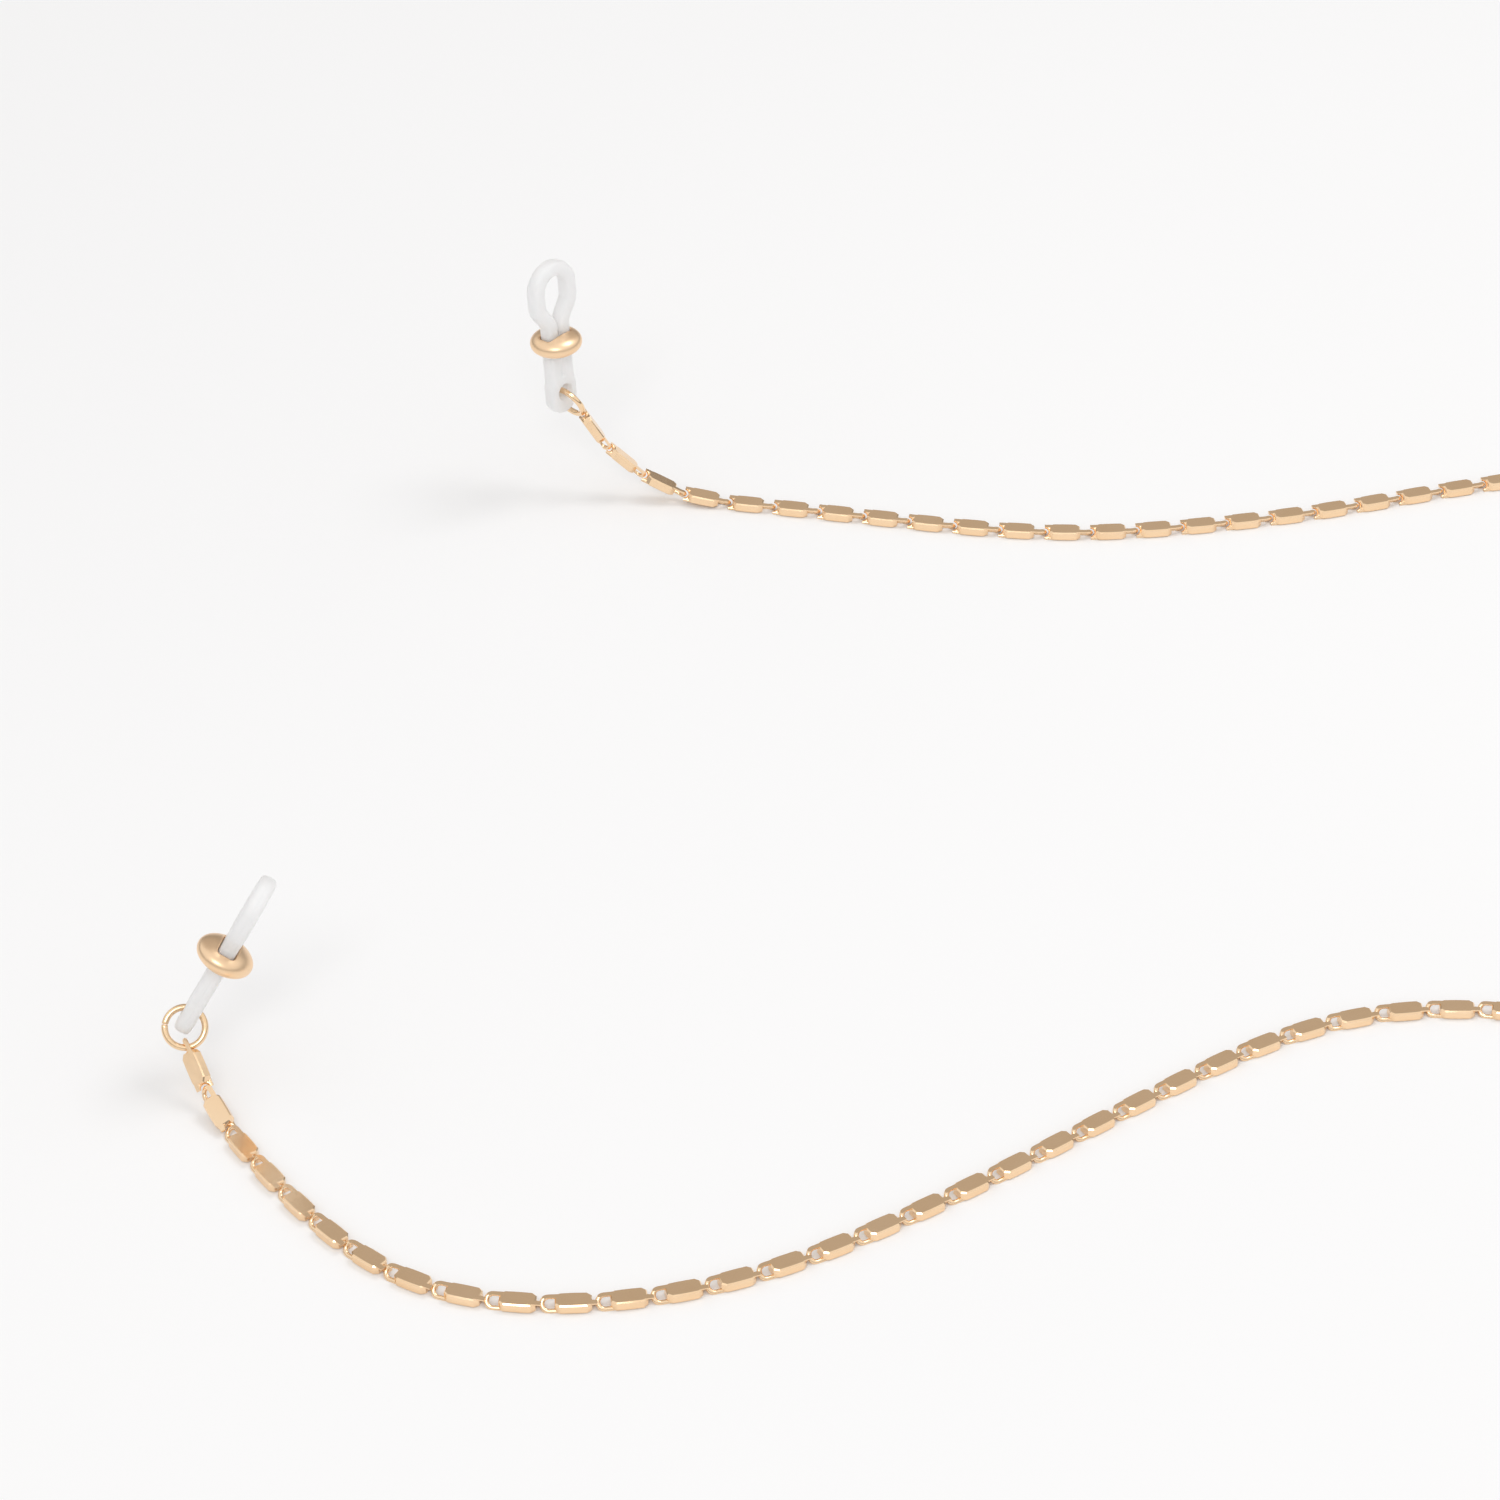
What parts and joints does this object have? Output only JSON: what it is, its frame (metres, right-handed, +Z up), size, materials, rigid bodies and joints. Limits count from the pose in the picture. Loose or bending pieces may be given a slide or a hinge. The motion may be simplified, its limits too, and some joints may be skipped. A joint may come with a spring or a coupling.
{
  "type": "eyeglasses chain strap",
  "caption": "Fine gold-tone link chain for spectacles, with a jump ring and a bead-tightened silicone temple loop at each end.",
  "frame": {"origin": "middle of the bounding box in plan, on the surface the chain lies on", "axes": "+Z up; the strand opens towards -X, +X towards the turn of the loop; the left connector lies on the -Y side and the right connector on the +Y side"},
  "size_m": [0.2896, 0.1668, 0.0347],
  "materials": {
    "gold_plate": "polished",
    "silicone": "translucent, soft satin"
  },
  "bodies": {
    "link_001": {"link_001": "gold_plate"},
    "link_002": {"link_002": "gold_plate"},
    "link_003": {"link_003": "gold_plate"},
    "link_004": {"link_004": "gold_plate"},
    "link_005": {"link_005": "gold_plate"},
    "link_006": {"link_006": "gold_plate"},
    "links_007_008": {"links_007_008": "gold_plate"},
    "links_009_010": {"links_009_010": "gold_plate"},
    "links_011_012": {"links_011_012": "gold_plate"},
    "links_013_014": {"links_013_014": "gold_plate"},
    "links_015_016": {"links_015_016": "gold_plate"},
    "links_017_018": {"links_017_018": "gold_plate"},
    "links_019_020": {"links_019_020": "gold_plate"},
    "links_021_022": {"links_021_022": "gold_plate"},
    "links_023_024": {"links_023_024": "gold_plate"},
    "links_025_026": {"links_025_026": "gold_plate"},
    "links_027_028": {"links_027_028": "gold_plate"},
    "links_029_030": {"links_029_030": "gold_plate"},
    "links_031_032": {"links_031_032": "gold_plate"},
    "links_033_034": {"links_033_034": "gold_plate"},
    "links_035_036": {"links_035_036": "gold_plate"},
    "links_037_039": {"links_037_039": "gold_plate"},
    "links_040_042": {"links_040_042": "gold_plate"},
    "links_043_045": {"links_043_045": "gold_plate"},
    "links_046_048": {"links_046_048": "gold_plate"},
    "links_049_051": {"links_049_051": "gold_plate"},
    "links_052_054": {"links_052_054": "gold_plate"},
    "links_055_057": {"links_055_057": "gold_plate"},
    "links_058_060": {"links_058_060": "gold_plate"},
    "links_061_063": {"links_061_063": "gold_plate"},
    "links_064_066": {"links_064_066": "gold_plate"},
    "links_067_069": {"links_067_069": "gold_plate"},
    "links_070_072": {"links_070_072": "gold_plate"},
    "links_073_074": {"links_073_074": "gold_plate"},
    "links_075_076": {"links_075_076": "gold_plate"},
    "links_077_078": {"links_077_078": "gold_plate"},
    "links_079_080": {"links_079_080": "gold_plate"},
    "links_081_082": {"links_081_082": "gold_plate"},
    "links_083_084": {"links_083_084": "gold_plate"},
    "links_085_086": {"links_085_086": "gold_plate"},
    "links_087_088": {"links_087_088": "gold_plate"},
    "links_089_090": {"links_089_090": "gold_plate"},
    "links_091_092": {"links_091_092": "gold_plate"},
    "links_093_094": {"links_093_094": "gold_plate"},
    "links_095_096": {"links_095_096": "gold_plate"},
    "links_097_098": {"links_097_098": "gold_plate"},
    "links_099_100": {"links_099_100": "gold_plate"},
    "links_101_102": {"links_101_102": "gold_plate"},
    "link_103": {"link_103": "gold_plate"},
    "link_104": {"link_104": "gold_plate"},
    "link_105": {"link_105": "gold_plate"},
    "link_106": {"link_106": "gold_plate"},
    "link_107": {"link_107": "gold_plate"},
    "link_108": {"link_108": "gold_plate"},
    "left_jump_ring": {"left_jump_ring": "gold_plate"},
    "left_silicone_loop": {"left_silicone_loop": "silicone"},
    "left_slider_bead": {"left_slider_bead": "gold_plate"},
    "right_jump_ring": {"right_jump_ring": "gold_plate"},
    "right_silicone_loop": {"right_silicone_loop": "silicone"},
    "right_slider_bead": {"right_slider_bead": "gold_plate"}
  },
  "joints": [
    {"name": "left_bead_slide", "type": "slide", "parent": "left_silicone_loop", "child": "left_slider_bead", "axis": [0.491, 0.1333, 0.8609], "range_m": [-0.0042, 0.0004]},
    {"name": "right_bead_slide", "type": "slide", "parent": "right_silicone_loop", "child": "right_slider_bead", "axis": [-0.0594, 0.0486, 0.997], "range_m": [-0.0035, 0.001]},
    {"name": "left_loop_swing", "type": "hinge", "parent": "left_jump_ring", "child": "left_silicone_loop", "pos_m": [-0.14108, -0.04279, 0.00891], "axis": [0.8627, -0.2119, -0.4592], "range_deg": [-60, 60]},
    {"name": "right_loop_swing", "type": "hinge", "parent": "right_jump_ring", "child": "right_silicone_loop", "pos_m": [-0.10323, 0.07621, 0.01585], "axis": [0.7289, -0.6803, 0.0766], "range_deg": [-60, 60]},
    {"name": "left_ring_swing", "type": "hinge", "parent": "link_001", "child": "left_jump_ring", "pos_m": [-0.14166, -0.04571, 0.00551], "axis": [-0.978, -0.2075, -0.0217], "range_deg": [-35, 35]},
    {"name": "right_ring_swing", "type": "hinge", "parent": "link_108", "child": "right_jump_ring", "pos_m": [-0.10035, 0.07581, 0.01239], "axis": [-0.2933, 0.6699, -0.682], "range_deg": [-35, 25]},
    {"name": "bend_001_002", "type": "hinge", "parent": "link_002", "child": "link_001", "pos_m": [-0.13944, -0.04946, 0.00234], "axis": [-0.8634, -0.5045, 0], "range_deg": [-5.4, 44.6]},
    {"name": "bend_002_003", "type": "hinge", "parent": "link_003", "child": "link_002", "pos_m": [-0.13643, -0.05435, 0.0006], "axis": [0, 0, 1], "range_deg": [-23.7, 20]},
    {"name": "bend_004_005", "type": "hinge", "parent": "link_005", "child": "link_004", "pos_m": [-0.12972, -0.06429, 0.0006], "axis": [0, 0, -1], "range_deg": [-27.9, 22.1]},
    {"name": "bend_005_006", "type": "hinge", "parent": "link_006", "child": "link_005", "pos_m": [-0.12603, -0.06902, 0.0006], "axis": [0, 0, 1], "range_deg": [-20.5, 29.5]},
    {"name": "bend_006_007", "type": "hinge", "parent": "links_007_008", "child": "link_006", "pos_m": [-0.12197, -0.07344, 0.0006], "axis": [0, 0, -1], "range_deg": [-32.7, 17.3]},
    {"name": "bend_104_105", "type": "hinge", "parent": "link_104", "child": "link_105", "pos_m": [-0.0816, 0.07262, 0.00063], "axis": [0, 0, -1], "range_deg": [-24.8, 25.2]},
    {"name": "bend_105_106", "type": "hinge", "parent": "link_105", "child": "link_106", "pos_m": [-0.08747, 0.07365, 0.00136], "axis": [0.1685, 0.9857, 0], "range_deg": [-42.7, 7.3]},
    {"name": "bend_106_107", "type": "hinge", "parent": "link_106", "child": "link_107", "pos_m": [-0.09284, 0.07457, 0.00387], "axis": [0, 0, 1], "range_deg": [-25.1, 24.9]},
    {"name": "bend_107_108", "type": "hinge", "parent": "link_107", "child": "link_108", "pos_m": [-0.09736, 0.07533, 0.00774], "axis": [0.1668, 0.986, 0], "range_deg": [-41.2, 8.8]},
    {"name": "lift_003_004", "type": "hinge", "parent": "link_004", "child": "link_003", "pos_m": [-0.13317, -0.05938, 0.0006], "axis": [0.8396, 0.5432, 0], "range_deg": [0, 20]},
    {"name": "lift_103_104", "type": "hinge", "parent": "link_103", "child": "link_104", "pos_m": [-0.0757, 0.07155, 0.0006], "axis": [0.1771, 0.9842, 0], "range_deg": [0, 20]},
    {"name": "bend_008_009", "type": "hinge", "parent": "links_009_010", "child": "links_007_008", "pos_m": [-0.11209, -0.08016, 0.0006], "axis": [0, 0, 1], "range_deg": [-12.7, 37.3]},
    {"name": "bend_010_011", "type": "hinge", "parent": "links_011_012", "child": "links_009_010", "pos_m": [-0.10036, -0.08243, 0.0006], "axis": [0, 0, -1], "range_deg": [-33.3, 16.7]},
    {"name": "bend_014_015", "type": "hinge", "parent": "links_015_016", "child": "links_013_014", "pos_m": [-0.07706, -0.07744, 0.0006], "axis": [0, 0, 1], "range_deg": [-19.8, 30.2]},
    {"name": "bend_016_017", "type": "hinge", "parent": "links_017_018", "child": "links_015_016", "pos_m": [-0.06649, -0.07178, 0.0006], "axis": [0, 0, -1], "range_deg": [-27.5, 22.5]},
    {"name": "bend_018_019", "type": "hinge", "parent": "links_019_020", "child": "links_017_018", "pos_m": [-0.05646, -0.06519, 0.0006], "axis": [0, 0, 1], "range_deg": [-23.9, 26.1]},
    {"name": "bend_022_023", "type": "hinge", "parent": "links_023_024", "child": "links_021_022", "pos_m": [-0.03707, -0.05105, 0.0006], "axis": [0, 0, -1], "range_deg": [-24.7, 25.3]},
    {"name": "bend_024_025", "type": "hinge", "parent": "links_025_026", "child": "links_023_024", "pos_m": [-0.02737, -0.04398, 0.0006], "axis": [0, 0, 1], "range_deg": [-26.7, 23.3]},
    {"name": "bend_026_027", "type": "hinge", "parent": "links_027_028", "child": "links_025_026", "pos_m": [-0.01721, -0.03762, 0.0006], "axis": [0, 0, -1], "range_deg": [-18.9, 31.1]},
    {"name": "bend_030_031", "type": "hinge", "parent": "links_031_032", "child": "links_029_030", "pos_m": [0.00599, -0.0328, 0.0006], "axis": [0, 0, 1], "range_deg": [-31.5, 18.5]},
    {"name": "bend_032_033", "type": "hinge", "parent": "links_033_034", "child": "links_031_032", "pos_m": [0.01781, -0.03478, 0.0006], "axis": [0, 0, -1], "range_deg": [-21.1, 28.9]},
    {"name": "bend_034_035", "type": "hinge", "parent": "links_035_036", "child": "links_033_034", "pos_m": [0.02926, -0.03836, 0.0006], "axis": [0, 0, 1], "range_deg": [-26.7, 23.3]},
    {"name": "bend_039_040", "type": "hinge", "parent": "links_040_042", "child": "links_037_039", "pos_m": [0.05747, -0.04856, 0.0006], "axis": [0, 0, -1], "range_deg": [-27.5, 22.5]},
    {"name": "bend_042_043", "type": "hinge", "parent": "links_043_045", "child": "links_040_042", "pos_m": [0.07506, -0.05225, 0.0006], "axis": [0, 0, 1], "range_deg": [-20.8, 29.2]},
    {"name": "bend_045_046", "type": "hinge", "parent": "links_046_048", "child": "links_043_045", "pos_m": [0.09302, -0.05205, 0.0006], "axis": [0, 0, -1], "range_deg": [-30.2, 19.8]},
    {"name": "bend_048_049", "type": "hinge", "parent": "links_049_051", "child": "links_046_048", "pos_m": [0.11025, -0.04702, 0.0006], "axis": [0, 0, 1], "range_deg": [-19.2, 30.8]},
    {"name": "bend_051_052", "type": "hinge", "parent": "links_052_054", "child": "links_049_051", "pos_m": [0.12517, -0.03707, 0.0006], "axis": [0, 0, -1], "range_deg": [-31, 19]},
    {"name": "bend_054_055", "type": "hinge", "parent": "links_052_054", "child": "links_055_057", "pos_m": [0.13628, -0.023, 0.0006], "axis": [0, 0, -1], "range_deg": [-19.1, 30.9]},
    {"name": "bend_057_058", "type": "hinge", "parent": "links_055_057", "child": "links_058_060", "pos_m": [0.14259, -0.00621, 0.0006], "axis": [0, 0, 1], "range_deg": [-30.6, 19.4]},
    {"name": "bend_060_061", "type": "hinge", "parent": "links_058_060", "child": "links_061_063", "pos_m": [0.14374, 0.0117, 0.0006], "axis": [0, 0, -1], "range_deg": [-19.7, 30.3]},
    {"name": "bend_063_064", "type": "hinge", "parent": "links_061_063", "child": "links_064_066", "pos_m": [0.13995, 0.02925, 0.0006], "axis": [0, 0, 1], "range_deg": [-29.9, 20.1]},
    {"name": "bend_066_067", "type": "hinge", "parent": "links_064_066", "child": "links_067_069", "pos_m": [0.1318, 0.04525, 0.0006], "axis": [0, 0, -1], "range_deg": [-20.5, 29.5]},
    {"name": "bend_069_070", "type": "hinge", "parent": "links_067_069", "child": "links_070_072", "pos_m": [0.1201, 0.05889, 0.0006], "axis": [0, 0, 1], "range_deg": [-29.3, 20.7]},
    {"name": "bend_074_075", "type": "hinge", "parent": "links_073_074", "child": "links_075_076", "pos_m": [0.09494, 0.07495, 0.0006], "axis": [0, 0, -1], "range_deg": [-21.2, 28.8]},
    {"name": "bend_076_077", "type": "hinge", "parent": "links_075_076", "child": "links_077_078", "pos_m": [0.0836, 0.07885, 0.0006], "axis": [0, 0, 1], "range_deg": [-28.7, 21.3]},
    {"name": "bend_078_079", "type": "hinge", "parent": "links_077_078", "child": "links_079_080", "pos_m": [0.07185, 0.08127, 0.0006], "axis": [0, 0, -1], "range_deg": [-21.6, 28.4]},
    {"name": "bend_082_083", "type": "hinge", "parent": "links_081_082", "child": "links_083_084", "pos_m": [0.04791, 0.08201, 0.0006], "axis": [0, 0, 1], "range_deg": [-27.8, 22.2]},
    {"name": "bend_084_085", "type": "hinge", "parent": "links_083_084", "child": "links_085_086", "pos_m": [0.036, 0.08057, 0.0006], "axis": [0, 0, -1], "range_deg": [-22.7, 27.3]},
    {"name": "bend_086_087", "type": "hinge", "parent": "links_085_086", "child": "links_087_088", "pos_m": [0.02424, 0.07818, 0.0006], "axis": [0, 0, 1], "range_deg": [-26.8, 23.2]},
    {"name": "bend_090_091", "type": "hinge", "parent": "links_089_090", "child": "links_091_092", "pos_m": [0.00115, 0.07164, 0.0006], "axis": [0, 0, -1], "range_deg": [-26.4, 23.6]},
    {"name": "bend_092_093", "type": "hinge", "parent": "links_091_092", "child": "links_093_094", "pos_m": [-0.01047, 0.06868, 0.0006], "axis": [0, 0, 1], "range_deg": [-22.8, 27.2]},
    {"name": "bend_094_095", "type": "hinge", "parent": "links_093_094", "child": "links_095_096", "pos_m": [-0.02229, 0.06658, 0.0006], "axis": [0, 0, -1], "range_deg": [-27.1, 22.9]},
    {"name": "bend_098_099", "type": "hinge", "parent": "links_097_098", "child": "links_099_100", "pos_m": [-0.0462, 0.06611, 0.0006], "axis": [0, 0, 1], "range_deg": [-21.6, 28.4]},
    {"name": "bend_100_101", "type": "hinge", "parent": "links_099_100", "child": "links_101_102", "pos_m": [-0.05802, 0.06815, 0.0006], "axis": [0, 0, -1], "range_deg": [-25.4, 24.6]},
    {"name": "bend_102_103", "type": "hinge", "parent": "links_101_102", "child": "link_103", "pos_m": [-0.0698, 0.07045, 0.0006], "axis": [0, 0, 1], "range_deg": [-25.4, 24.6]},
    {"name": "lift_012_013", "type": "hinge", "parent": "links_013_014", "child": "links_011_012", "pos_m": [-0.08845, -0.08117, 0.0006], "axis": [-0.1616, 0.9869, 0], "range_deg": [0, 20]},
    {"name": "lift_020_021", "type": "hinge", "parent": "links_021_022", "child": "links_019_020", "pos_m": [-0.04669, -0.05822, 0.0006], "axis": [-0.5878, 0.809, 0], "range_deg": [0, 20]},
    {"name": "lift_028_029", "type": "hinge", "parent": "links_029_030", "child": "links_027_028", "pos_m": [-0.00596, -0.03352, 0.0006], "axis": [-0.2773, 0.9608, 0], "range_deg": [0, 20]},
    {"name": "lift_036_037", "type": "hinge", "parent": "links_037_039", "child": "links_035_036", "pos_m": [0.04049, -0.0426, 0.0006], "axis": [0.3584, 0.9336, 0], "range_deg": [0, 20]},
    {"name": "lift_072_073", "type": "hinge", "parent": "links_070_072", "child": "links_073_074", "pos_m": [0.10567, 0.06959, 0.0006], "axis": [0.4772, 0.8788, 0], "range_deg": [0, 20]},
    {"name": "lift_080_081", "type": "hinge", "parent": "links_079_080", "child": "links_081_082", "pos_m": [0.0599, 0.0823, 0.0006], "axis": [0.0017, 1, 0], "range_deg": [0, 20]},
    {"name": "lift_088_089", "type": "hinge", "parent": "links_087_088", "child": "links_089_090", "pos_m": [0.01265, 0.07508, 0.0006], "axis": [-0.2857, 0.9583, 0], "range_deg": [0, 20]},
    {"name": "lift_096_097", "type": "hinge", "parent": "links_095_096", "child": "links_097_098", "pos_m": [-0.03423, 0.06544, 0.0006], "axis": [0.0157, 0.9999, 0], "range_deg": [0, 20]}
  ]
}
